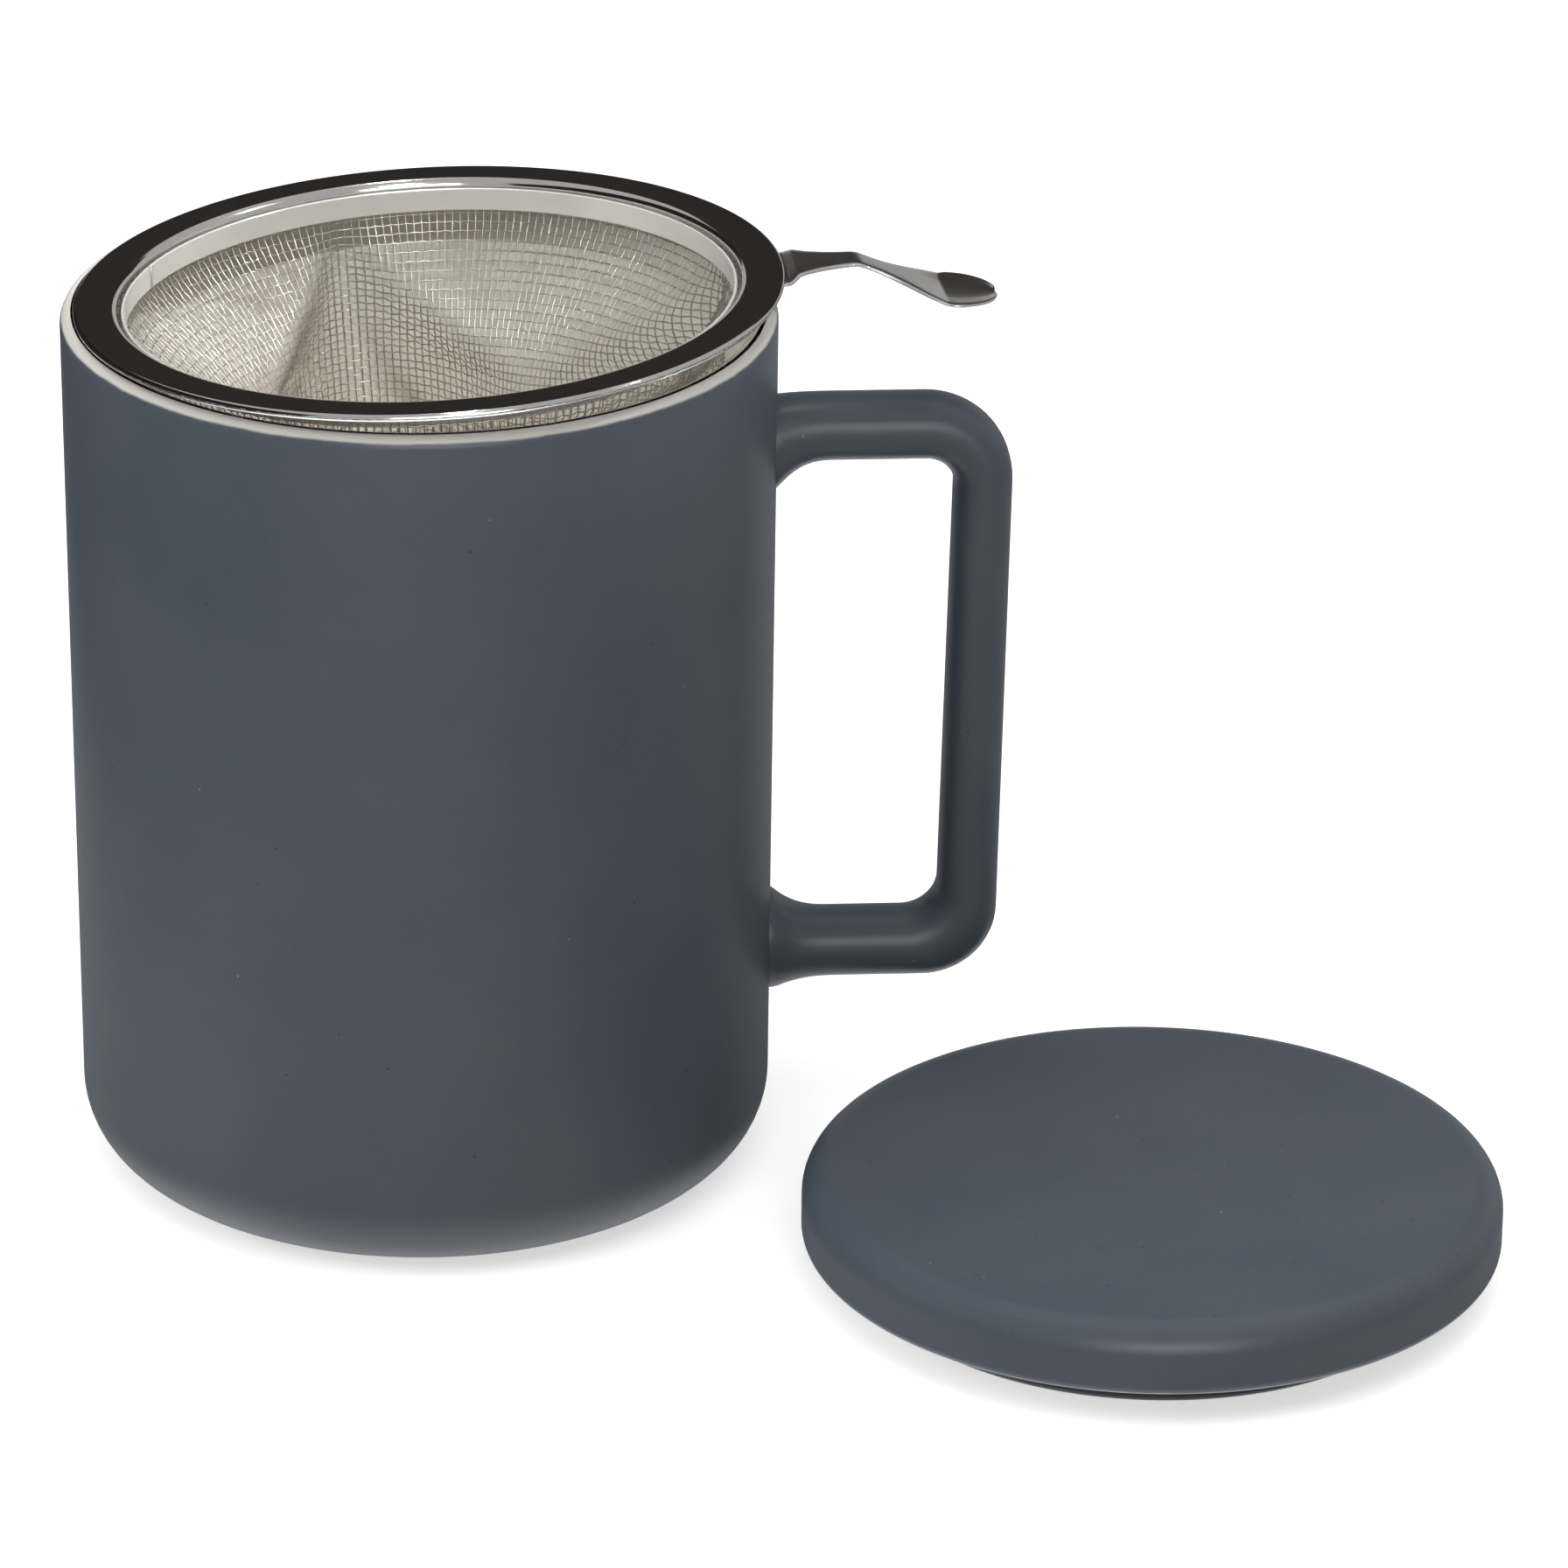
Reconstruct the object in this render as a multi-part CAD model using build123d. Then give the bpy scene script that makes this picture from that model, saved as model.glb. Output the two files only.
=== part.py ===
from build123d import *
import math
import os

# A stoneware tea mug with a lift-out steel infuser and its lid beside it, in millimetres.
# The origin is the centre of the mug's foot, +Z is up and the handle points along +X.

# Mug body
MUG_HEIGHT = 108.6
MUG_RIM_R = 42.5
MUG_FOOT_R = 41.9
MUG_FOOT_ROUND = 9.5
MUG_WALL = 3.05
MUG_FLOOR = 5.0
MUG_INNER_ROUND = 6.5

# Handle, a rounded bar bent into a C
HANDLE_REACH = 70.95
HANDLE_LEAN = 1.3
HANDLE_TOP_DROP = 12.3
HANDLE_FOOT_Z = 20.8
HANDLE_TOP_BAR = 7.55
HANDLE_GRIP_BAR = 7.2
HANDLE_FOOT_BAR = 7.9
HANDLE_WIDTH = 9.4
HANDLE_EDGE_ROUND = 2.6
HANDLE_TOP_CORNER = 10.5
HANDLE_FOOT_CORNER = 9.0
HANDLE_INNER_TOP_CORNER = 3.5
HANDLE_INNER_FOOT_CORNER = 4.5
ROOT_TOP_ROUND = 0.8
ROOT_UNDER_ROUND = 7.5
ROOT_OVER_ROUND = 5.7
ROOT_FOOT_ROUND = 4.4
ROOT_SINK = 0.3
ROOT_ANCHOR = 8.0

# Lid, a disc with a plug ring under it
LID_AZIMUTH = -25.32
LID_GAP = 10.29
LID_INSET = 0.7
LID_DISC = 8.55
LID_SHOULDER = 3.6
LID_UNDER_EDGE = 1.2
LID_RING_DROP = 4.25
LID_RING_WALL = 4.0
LID_RING_ROUND = 0.9
LID_RING_CLEARANCE = 0.89

# Infuser: its place on the rim, then its pieces from the outside in
INFUSER_X = 1.09
INFUSER_Y = -1.58
INFUSER_TILT = 2.68
INFUSER_TILT_AZIMUTH = -11.4
SEAT_CLEARANCE = 0.15
FLANGE_INSET = 0.45
FLANGE_SHEET = 0.35
HEM_HEIGHT = 0.9
HEM_WIDTH = 1.1
FLANGE_BEND = 1.6
NECK_DROP = 1.8
NECK_CLEARANCE = 2.2
WELD_GAP = 0.08
MESH_THICK = 0.35
BAND_SHEET = 0.35
BAND_TOP = 0.9
BAND_HEIGHT = 2.8
BAND_SEAM_WIDTH = 0.25
BAND_SEAM_AZIMUTH = 156.0

# Mesh basket: a round collar that passes into four hollow panels between four outward folds,
# each fold pinched narrow under the collar and spreading wide below it
COLLAR_TOP = 1.5
COLLAR_HEIGHT = 2.6
BASKET_DEPTH = 69.5
BASKET_FOOT_R = 33.0
BASKET_FOOT_ROUND = 9.0
PANEL_HOLLOW = 15.5
PANEL_RAMP = 12.0
PANEL_EASE = 1.4
FOLD_AZIMUTH = 17.0
FOLD_PINCH = 6.0
FOLD_SPREAD = 22.0
FOLD_SPREAD_DEPTH = 17.0
SECTION_POINTS = 40
COLLAR_SECTIONS = 3
WALL_SECTIONS = 10
SECTION_CROWDING = 1.5
FOOT_SECTIONS = 4

# Thumb tab, one strip of sheet welded under the flange's hem
TAB_AZIMUTH = 3.0
TAB_SHEET = 0.6
TAB_ROOT_WIDTH = 11.1
TAB_NECK_WIDTH = 4.4
TAB_PADDLE_WIDTH = 11.7
TAB_BEND_REACH = 8.75
TAB_NECK_REACH = 10.35
TAB_CREASE_REACH = 18.95
TAB_PADDLE_REACH = 19.95
TAB_TIP_REACH = 25.4
TAB_STRIP_DROP = 0.35
TAB_CREASE_DROP = 5.2
TAB_TIP_DROP = 6.0
TAB_LAP = 3.25
TAB_HEM_CLEARANCE = 0.35
TAB_BEND_ROUND = 0.7

mouth_r = MUG_RIM_R - MUG_WALL
flange_r = MUG_RIM_R - FLANGE_INSET
lid_r = MUG_RIM_R - LID_INSET
neck_r = mouth_r - NECK_CLEARANCE
collar_r = neck_r - FLANGE_SHEET - WELD_GAP
band_r = collar_r - MESH_THICK - WELD_GAP
lid_ring_r = band_r - BAND_SHEET - LID_RING_CLEARANCE
handle_top = MUG_HEIGHT - HANDLE_TOP_DROP
slope = math.tan(math.radians(INFUSER_TILT))
flange_z = MUG_HEIGHT + SEAT_CLEARANCE + HEM_HEIGHT + flange_r * slope


def infuser_plane():
    """The flange's top face: its centre, with the normal leaning away from the raised side."""
    azimuth = math.radians(INFUSER_TILT_AZIMUTH)
    rise_x = slope * math.cos(azimuth)
    rise_y = slope * math.sin(azimuth)
    return Plane(
        origin=(INFUSER_X, INFUSER_Y, flange_z),
        x_dir=(1, 0, rise_x),
        z_dir=(-rise_x, -rise_y, 1),
    )


def turned(corners):
    """Revolve a closed outline, given as (radius, height, corner round) in order."""
    points = [(r, 0, z) for r, z, corner_round in corners]
    rounds = [corner_round for r, z, corner_round in corners]
    return revolve(make_face(FilletPolyline(*points, radius=rounds, close=True)), Axis.Z)


def mug_outer():
    return turned([
        (0, 0, 0),
        (MUG_FOOT_R, 0, MUG_FOOT_ROUND),
        (MUG_RIM_R, MUG_HEIGHT, 0),
        (0, MUG_HEIGHT, 0),
    ])


def mug_body():
    lip_round = 0.48 * MUG_WALL
    return turned([
        (0, 0, 0),
        (MUG_FOOT_R, 0, MUG_FOOT_ROUND),
        (MUG_RIM_R, MUG_HEIGHT, lip_round),
        (mouth_r, MUG_HEIGHT, lip_round),
        (MUG_FOOT_R - MUG_WALL, MUG_FLOOR, MUG_INNER_ROUND),
        (0, MUG_FLOOR, 0),
    ])


def root_x(z):
    """Where a flat handle root of full width just sinks under the round wall, at a height."""
    wall_r = MUG_FOOT_R + (MUG_RIM_R - MUG_FOOT_R) * z / MUG_HEIGHT
    return math.sqrt(wall_r ** 2 - (HANDLE_WIDTH / 2) ** 2) - ROOT_SINK


def handle_outline():
    """The C seen from the side; its open ends run on inside the mug, where the wall trims them."""
    top_under = handle_top - HANDLE_TOP_BAR
    foot_over = HANDLE_FOOT_Z + HANDLE_FOOT_BAR
    foot_reach = HANDLE_REACH - HANDLE_LEAN
    top_x = root_x(handle_top)
    foot_x = root_x(HANDLE_FOOT_Z)
    corners = [
        (top_x - ROOT_ANCHOR, handle_top + ROOT_ANCHOR, 0),
        (top_x, handle_top + ROOT_ANCHOR, 0),
        (top_x, handle_top, ROOT_TOP_ROUND),
        (HANDLE_REACH, handle_top, HANDLE_TOP_CORNER),
        (foot_reach, HANDLE_FOOT_Z, HANDLE_FOOT_CORNER),
        (foot_x, HANDLE_FOOT_Z, ROOT_FOOT_ROUND),
        (foot_x, HANDLE_FOOT_Z - ROOT_ANCHOR, 0),
        (foot_x - ROOT_ANCHOR, HANDLE_FOOT_Z - ROOT_ANCHOR, 0),
        (foot_x - ROOT_ANCHOR, foot_over + ROOT_ANCHOR, 0),
        (foot_x, foot_over + ROOT_ANCHOR, 0),
        (foot_x, foot_over, ROOT_OVER_ROUND),
        (foot_reach - HANDLE_GRIP_BAR, foot_over, HANDLE_INNER_FOOT_CORNER),
        (HANDLE_REACH - HANDLE_GRIP_BAR, top_under, HANDLE_INNER_TOP_CORNER),
        (top_x, top_under, ROOT_UNDER_ROUND),
        (top_x, top_under - ROOT_ANCHOR, 0),
        (top_x - ROOT_ANCHOR, top_under - ROOT_ANCHOR, 0),
    ]
    points = [(x, 0, z) for x, z, corner_round in corners]
    rounds = [corner_round for x, z, corner_round in corners]
    return make_face(FilletPolyline(*points, radius=rounds, close=True))


def mug_handle():
    bar = extrude(handle_outline(), HANDLE_WIDTH / 2, dir=(0, 1, 0), both=True)
    sides = bar.faces().filter_by(Axis.Y)
    bar = fillet(sides.edges(), HANDLE_EDGE_ROUND)
    return bar - mug_outer()


def lid():
    top_z = LID_RING_DROP + LID_DISC
    ring_inner_r = lid_ring_r - LID_RING_WALL
    disc = turned([
        (0, LID_RING_DROP, 0),
        (ring_inner_r, LID_RING_DROP, LID_RING_ROUND),
        (ring_inner_r, 0, LID_RING_ROUND),
        (lid_ring_r, 0, LID_RING_ROUND),
        (lid_ring_r, LID_RING_DROP, LID_RING_ROUND),
        (lid_r, LID_RING_DROP, LID_UNDER_EDGE),
        (lid_r, top_z, LID_SHOULDER),
        (0, top_z, 0),
    ])
    return Rot(0, 0, LID_AZIMUTH) * Pos(MUG_RIM_R + LID_GAP + lid_r, 0, 0) * disc


def rim_flange():
    neck_inner_r = neck_r - FLANGE_SHEET
    hem_inner_r = flange_r - HEM_WIDTH
    hem_round = 0.48 * HEM_HEIGHT
    return turned([
        (neck_inner_r, -NECK_DROP, 0),
        (neck_inner_r, 0, FLANGE_BEND),
        (flange_r, 0, hem_round),
        (flange_r, -HEM_HEIGHT, hem_round),
        (hem_inner_r, -HEM_HEIGHT, 0),
        (hem_inner_r, -FLANGE_SHEET, 0),
        (neck_r, -FLANGE_SHEET, FLANGE_BEND - FLANGE_SHEET),
        (neck_r, -NECK_DROP, 0),
    ])


def inner_band():
    foot = BAND_TOP + BAND_HEIGHT
    ring = Pos(0, 0, -foot) * extrude(Circle(band_r) - Circle(band_r - BAND_SHEET), BAND_HEIGHT)
    seam = Pos(band_r, 0, -foot) * Box(4 * BAND_SHEET, BAND_SEAM_WIDTH, 3 * BAND_HEIGHT)
    return ring - Rot(0, 0, BAND_SEAM_AZIMUTH) * seam


def basket_radius(depth, angle):
    """Outer radius of the mesh at a depth below the flange: tapered, hollow between the folds.

    Each fold stands out over an angle that grows with depth; at its half width the wall is
    halfway between the fold and the hollow.
    """
    start = COLLAR_TOP + COLLAR_HEIGHT
    drop = max(0, depth - start)
    taper = collar_r + (BASKET_FOOT_R - collar_r) * drop / (BASKET_DEPTH - start)
    hollow = PANEL_HOLLOW * (1 - math.exp(-(drop / PANEL_RAMP) ** PANEL_EASE))
    spread = min(1, drop / FOLD_SPREAD_DEPTH) ** 2
    half_width = math.radians(FOLD_PINCH + (FOLD_SPREAD - FOLD_PINCH) * spread)
    sharpness = math.log(0.5) / math.log(math.cos(2 * half_width))
    fold = abs(math.cos(2 * (angle - math.radians(FOLD_AZIMUTH)))) ** sharpness
    return taper - hollow * (1 - fold)


def basket_section(depth, inset):
    """One closed curve round the basket, drawn in by the rounded foot and by the inset."""
    foot_top = BASKET_DEPTH - BASKET_FOOT_ROUND
    sunk = min(1, max(0, (depth - foot_top) / BASKET_FOOT_ROUND))
    drawn_in = BASKET_FOOT_ROUND * (1 - math.sqrt(1 - sunk * sunk))
    points = []
    for step in range(SECTION_POINTS):
        angle = math.radians(FOLD_AZIMUTH) + 2 * math.pi * step / SECTION_POINTS
        radius = basket_radius(depth, angle) - drawn_in - inset
        points.append((radius * math.cos(angle), radius * math.sin(angle), inset - depth))
    return make_face(Spline(*points, periodic=True))


def basket_block(inset):
    """The filled basket with its collar; an inset leaves room for the wall and the floor."""
    collar_foot = COLLAR_TOP + COLLAR_HEIGHT
    foot_top = BASKET_DEPTH - BASKET_FOOT_ROUND
    depths = [COLLAR_TOP + COLLAR_HEIGHT * step / COLLAR_SECTIONS for step in range(COLLAR_SECTIONS)]
    for step in range(WALL_SECTIONS):
        share = (step / WALL_SECTIONS) ** SECTION_CROWDING
        depths.append(collar_foot + (foot_top - collar_foot) * share)
    for step in range(FOOT_SECTIONS):
        turn = 0.9 * math.pi / 2 * step / (FOOT_SECTIONS - 1)
        depths.append(foot_top + BASKET_FOOT_ROUND * math.sin(turn))
    return loft([basket_section(depth, inset) for depth in depths])


def mesh_basket():
    return basket_block(0) - basket_block(MESH_THICK)


def tab_strip():
    """The bent strip at full width: lap under the hem, short riser, level strip, crease and paddle."""
    lap_z = -HEM_HEIGHT - WELD_GAP - TAB_SHEET / 2
    strip_z = -TAB_STRIP_DROP - TAB_SHEET / 2
    riser_r = flange_r + TAB_HEM_CLEARANCE
    line = FilletPolyline(
        (flange_r - TAB_LAP, 0, lap_z),
        (riser_r, 0, lap_z),
        (riser_r + 2 * TAB_SHEET, 0, strip_z),
        (flange_r + TAB_BEND_REACH, 0, strip_z),
        (flange_r + TAB_CREASE_REACH, 0, -TAB_CREASE_DROP - TAB_SHEET / 2),
        (flange_r + TAB_TIP_REACH + 1, 0, -TAB_TIP_DROP - TAB_SHEET / 2),
        radius=TAB_BEND_ROUND,
    )
    start = Plane(origin=line @ 0, x_dir=(0, 1, 0), z_dir=line % 0)
    return sweep(start * Rectangle(2 * TAB_PADDLE_WIDTH, TAB_SHEET), path=line)


def tab_outline():
    """The strip from above: square root, narrow neck and round paddle."""
    shoulder_r = flange_r + TAB_HEM_CLEARANCE
    neck_x = flange_r + TAB_NECK_REACH
    paddle_x = flange_r + TAB_PADDLE_REACH
    paddle_in_y = (TAB_NECK_WIDTH + TAB_PADDLE_WIDTH) / 4
    edge = Spline(
        (shoulder_r, TAB_ROOT_WIDTH / 2),
        (neck_x, TAB_NECK_WIDTH / 2),
        ((neck_x + paddle_x) / 2, 0.9 * paddle_in_y),
        (paddle_x, TAB_PADDLE_WIDTH / 2),
        (flange_r + TAB_TIP_REACH, 0),
        tangents=[(1, -1), (0, -1)],
    )
    root = Polyline(
        (shoulder_r, TAB_ROOT_WIDTH / 2),
        (mouth_r / 2, TAB_ROOT_WIDTH / 2),
        (mouth_r / 2, 0),
    )
    half = edge + root
    return make_face(half + mirror(half, Plane.XZ))


def thumb_tab():
    blank = extrude(tab_outline(), 4 * TAB_TIP_DROP, both=True)
    return Rot(0, 0, TAB_AZIMUTH) * (tab_strip() & blank)


def write_parts():
    os.makedirs("parts", exist_ok=True)
    infuser = infuser_plane().location
    solids = {
        "mug_body": mug_body(),
        "mug_handle": mug_handle(),
        "lid": lid(),
        "rim_flange": infuser * rim_flange(),
        "inner_band": infuser * inner_band(),
        "mesh_basket": infuser * mesh_basket(),
        "thumb_tab": infuser * thumb_tab(),
    }
    for node, solid in solids.items():
        export_step(solid, f"parts/{node}.step")


write_parts()
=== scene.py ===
import math
import bmesh
import bpy
from mathutils import Matrix, Vector


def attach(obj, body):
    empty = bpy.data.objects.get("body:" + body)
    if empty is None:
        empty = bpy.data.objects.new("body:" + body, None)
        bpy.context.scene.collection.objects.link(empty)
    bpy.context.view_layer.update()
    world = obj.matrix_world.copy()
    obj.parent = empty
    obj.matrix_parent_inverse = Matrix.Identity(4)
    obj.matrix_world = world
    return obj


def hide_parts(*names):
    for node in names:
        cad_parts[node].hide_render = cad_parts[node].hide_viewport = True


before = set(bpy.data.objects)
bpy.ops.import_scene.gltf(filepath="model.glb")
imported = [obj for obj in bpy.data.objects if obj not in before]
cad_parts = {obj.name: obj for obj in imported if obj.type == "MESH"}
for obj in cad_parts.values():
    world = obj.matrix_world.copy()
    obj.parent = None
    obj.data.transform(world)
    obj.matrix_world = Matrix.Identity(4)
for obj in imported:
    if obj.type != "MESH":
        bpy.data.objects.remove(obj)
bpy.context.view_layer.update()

mm = 0.001
inMillimetres = (1000.0, 1000.0, 1000.0)  # turns a pattern on object coordinates into one on millimetres
uvPerRadian = 40  # round a turned piece, along the grain of its steel
noiseRange = (0.3, 0.7)  # where nearly all values of a noise lie


# A tea mug with its handle along +X, a steel infuser seated a little askew in it, and its lid on the table.
# Sizes are in millimetres and become metres in makePiece.

view = {
    # angles in radians, lens and sensor in millimetres, clip in metres
    "place": (-19.9, -968.4, 479.8),
    "yaw": 0.0656,
    "pitch": 0.4206,
    "roll": 0.0093,
    "lens": 200.9,
    "sensor": 36.0,
    "clip": (0.01, 20),
}

mug = {
    "height": 108.6,
    "rimRadius": 42.5,
    "footRadius": 41.9,
    "footRound": 9.5,
    "wall": 3.05,
    "floor": 5.0,
    "innerRound": 6.5,
    "lipRound": 1.46,
    "lipReach": 4.0,  # how far down from the rim the pale line is worked out
    "paleDrop": 0.6,
    "farPast": 4.0,
    "arcSteps": 16,
    "turns": 320,
}

seat = {
    # where the infuser's flange lies and how far it tips, in degrees
    "centre": (1.09, -1.58),
    "tilt": 2.68,
    "tiltAzimuth": -11.4,
    "top": 111.618,
}


def addCamera():
    camera = bpy.data.objects.new("camera", bpy.data.cameras.new("camera"))
    bpy.context.scene.collection.objects.link(camera)
    yaw, pitch, roll = view["yaw"], view["pitch"], view["roll"]
    ahead = Vector((math.sin(yaw) * math.cos(pitch), math.cos(yaw) * math.cos(pitch), -math.sin(pitch)))
    right = Vector((math.cos(yaw), -math.sin(yaw), 0))
    above = right.cross(ahead)
    side = right * math.cos(roll) + above * math.sin(roll)
    top = above * math.cos(roll) - right * math.sin(roll)
    turn = Matrix((side, top, -ahead)).transposed().to_4x4()
    camera.matrix_world = Matrix.Translation(Vector(view["place"]) * mm) @ turn
    camera.data.sensor_fit = "HORIZONTAL"
    camera.data.sensor_width = view["sensor"]
    camera.data.lens = view["lens"]
    camera.data.clip_start, camera.data.clip_end = view["clip"]
    bpy.context.scene.camera = camera


def seatMatrix():
    slope = math.tan(math.radians(seat["tilt"]))
    azimuth = math.radians(seat["tiltAzimuth"])
    riseX, riseY = slope * math.cos(azimuth), slope * math.sin(azimuth)
    normal = Vector((-riseX, -riseY, 1)).normalized()
    along = Vector((1, 0, riseX)).normalized()
    across = normal.cross(along)
    turn = Matrix((along, across, normal)).transposed().to_4x4()
    return Matrix.Translation((seat["centre"][0], seat["centre"][1], seat["top"])) @ turn


def srgb(red, green, blue):
    def linear(value):
        value = value / 255
        return value / 12.92 if value <= 0.04045 else ((value + 0.055) / 1.055) ** 2.4
    return (linear(red), linear(green), linear(blue), 1)


class Nodes:
    # A small hand for wiring one material.
    def __init__(self, name):
        self.material = bpy.data.materials.new(name)
        self.material.use_nodes = True
        self.tree = self.material.node_tree
        self.shader = self.tree.nodes["Principled BSDF"]

    def add(self, kind, **values):
        node = self.tree.nodes.new(kind)
        for key, value in values.items():
            setattr(node, key, value)
        return node

    def link(self, source, target):
        self.tree.links.new(source, target)

    def place(self, kind, stretch):
        # Kind is Object or UV; stretch has one number for each axis.
        mapping = self.add("ShaderNodeMapping")
        mapping.inputs["Scale"].default_value = stretch
        self.link(self.add("ShaderNodeTexCoord").outputs[kind], mapping.inputs["Vector"])
        return mapping.outputs["Vector"]

    def noise(self, place, scale, detail=2.0, roughness=0.5):
        node = self.add("ShaderNodeTexNoise")
        node.inputs["Scale"].default_value = scale
        node.inputs["Detail"].default_value = detail
        node.inputs["Roughness"].default_value = roughness
        self.link(place, node.inputs["Vector"])
        return node.outputs["Fac"]

    def spread(self, value, low, high, toLow, toHigh, smooth=False):
        node = self.add("ShaderNodeMapRange")
        node.interpolation_type = "SMOOTHSTEP" if smooth else "LINEAR"
        for key, number in (("From Min", low), ("From Max", high), ("To Min", toLow), ("To Max", toHigh)):
            node.inputs[key].default_value = number
        self.link(value, node.inputs["Value"])
        return node.outputs["Result"]

    def feed(self, value, socket):
        # A fixed value or what another node gives.
        if isinstance(value, (int, float, tuple)):
            socket.default_value = value
        else:
            self.link(value, socket)

    def math(self, operation, first, second):
        node = self.add("ShaderNodeMath", operation=operation)
        self.feed(first, node.inputs[0])
        self.feed(second, node.inputs[1])
        return node.outputs[0]

    def mix(self, factor, first, second):
        # A colour mix takes its two colours at sockets 6 and 7 and gives the mix at 2.
        node = self.add("ShaderNodeMix", data_type="RGBA")
        for value, index in ((factor, 0), (first, 6), (second, 7)):
            self.feed(value, node.inputs[index])
        return node.outputs[2]

    def roughen(self, pattern, roughness, spread):
        rough = self.spread(pattern, *noiseRange, roughness - spread / 2, roughness + spread / 2)
        self.link(rough, self.shader.inputs["Roughness"])

    def bump(self, height, strength, distance):
        node = self.add("ShaderNodeBump")
        node.inputs["Strength"].default_value = strength
        node.inputs["Distance"].default_value = distance
        self.link(height, node.inputs["Height"])
        self.link(node.outputs["Normal"], self.shader.inputs["Normal"])


glaze = {
    "body": srgb(74, 83, 93),
    "bodyLight": srgb(82, 90, 99),
    "lip": srgb(206, 203, 196),
    "cream": srgb(242, 236, 224),
    "roughness": 0.38,
    "roughSpread": 0.1,
    "specular": 0.4,
    "cloud": 0.05,  # patterns per mm
    "cloudShare": 0.6,
    "mottle": (0.35, 0.65),
    "grain": 2.6,
    "specks": [
        # colour, specks per mm, radius as a share of their spacing
        (srgb(44, 46, 50), 0.22, 0.045),
        (srgb(150, 148, 146), 0.16, 0.03),
    ],
    "speckCover": 0.75,
    "stray": 0.35,  # how often per mm the pale line strays, and by how many mm
    "strayReach": 0.08,
    "paleFade": (-0.25, 0.3),  # mm past the line
    "creamFade": (1.0, 3.0),
    "bump": 0.12,
    "bumpDepth": 0.00004,
}


def glazeMaterial(name, lipAttribute=None):
    nodes = Nodes(name)
    place = nodes.place("Object", inMillimetres)
    cloud = nodes.noise(place, glaze["cloud"], 3.0)
    grain = nodes.noise(place, glaze["grain"], 3.0, 0.6)
    share = glaze["cloudShare"]
    mottle = nodes.math("ADD", nodes.math("MULTIPLY", cloud, share), nodes.math("MULTIPLY", grain, 1 - share))
    colour = nodes.mix(nodes.spread(mottle, *glaze["mottle"], 0, 1), glaze["body"], glaze["bodyLight"])
    for speck, scale, reach in glaze["specks"]:
        cells = nodes.add("ShaderNodeTexVoronoi", feature="F1")
        cells.inputs["Scale"].default_value = scale
        nodes.link(place, cells.inputs["Vector"])
        dot = nodes.spread(cells.outputs["Distance"], reach * 0.5, reach, glaze["speckCover"], 0, True)
        colour = nodes.mix(dot, colour, speck)
    if lipAttribute:
        past = nodes.add("ShaderNodeAttribute", attribute_name=lipAttribute).outputs["Fac"]
        reach = glaze["strayReach"]
        stray = nodes.spread(nodes.noise(place, glaze["stray"], 3.0), *noiseRange, -reach, reach)
        pale = nodes.spread(nodes.math("ADD", past, stray), *glaze["paleFade"], 0, 1, True)
        inside = nodes.spread(past, *glaze["creamFade"], 0, 1, True)
        colour = nodes.mix(pale, colour, nodes.mix(inside, glaze["lip"], glaze["cream"]))
    nodes.link(colour, nodes.shader.inputs["Base Color"])
    nodes.roughen(grain, glaze["roughness"], glaze["roughSpread"])
    nodes.shader.inputs["Specular IOR Level"].default_value = glaze["specular"]
    height = nodes.math("ADD", grain, nodes.math("MULTIPLY", cloud, 2.0))
    nodes.bump(height, glaze["bump"], glaze["bumpDepth"])
    return nodes.material


metal = {
    "cloud": 0.12,  # patterns per mm
    "cloudShade": 0.93,
    "bumpDepth": 0.00002,
}


def steelMaterial(name, steel):
    nodes = Nodes(name)
    lines = nodes.noise(nodes.place("UV", steel["grain"]), 1.0, 3.0, 0.6)
    cloud = nodes.noise(nodes.place("Object", inMillimetres), metal["cloud"], 2.0)
    shade = tuple(metal["cloudShade"] * part for part in steel["colour"][:3]) + (1,)
    tint = nodes.mix(nodes.spread(cloud, *noiseRange, 0, 1), steel["colour"], shade)
    nodes.link(tint, nodes.shader.inputs["Base Color"])
    nodes.roughen(lines, steel["roughness"], steel["roughSpread"])
    nodes.shader.inputs["Metallic"].default_value = steel["metallic"]
    nodes.bump(lines, steel["bump"], metal["bumpDepth"])
    return nodes.material


def roundCorner(before, here, after, bend, steps):
    # The points of an arc of radius bend that rounds the corner at here.
    inward, outward = (before - here).normalized(), (after - here).normalized()
    half = inward.angle(outward) / 2
    reach = bend / math.tan(half)
    centre = here + (inward + outward).normalized() * (bend / math.sin(half))
    first = here + inward * reach - centre
    last = here + outward * reach - centre
    sweep = math.pi - 2 * half
    arc = []
    for step in range(steps + 1):
        share = sweep * step / steps
        way = first * math.sin(sweep - share) + last * math.sin(share)
        arc.append(centre + way / math.sin(sweep))
    return arc


guard = {"share": 0.25, "most": 0.3}  # of a corner's radius, and in millimetres


def roundedOutline(corners, steps):
    # Corners are (radius, height, round). Returns evenly rounded points with a guard point beside each arc,
    # which keeps the smooth shading of the arc off the flats.
    points = []
    for index, (x, z, bend) in enumerate(corners):
        here = Vector((x, z))
        if bend <= 0:
            points.append(here)
            continue
        before = Vector(corners[index - 1][:2])
        after = Vector(corners[(index + 1) % len(corners)][:2])
        arc = roundCorner(before, here, after, bend, steps)
        room = min(guard["share"] * bend, guard["most"])
        points.append(arc[0] + (before - here).normalized() * room)
        points += arc
        points.append(arc[-1] + (after - here).normalized() * room)
    return points


def link(name, mesh):
    piece = bpy.data.objects.new(name, mesh)
    bpy.context.scene.collection.objects.link(piece)
    return piece


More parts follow.
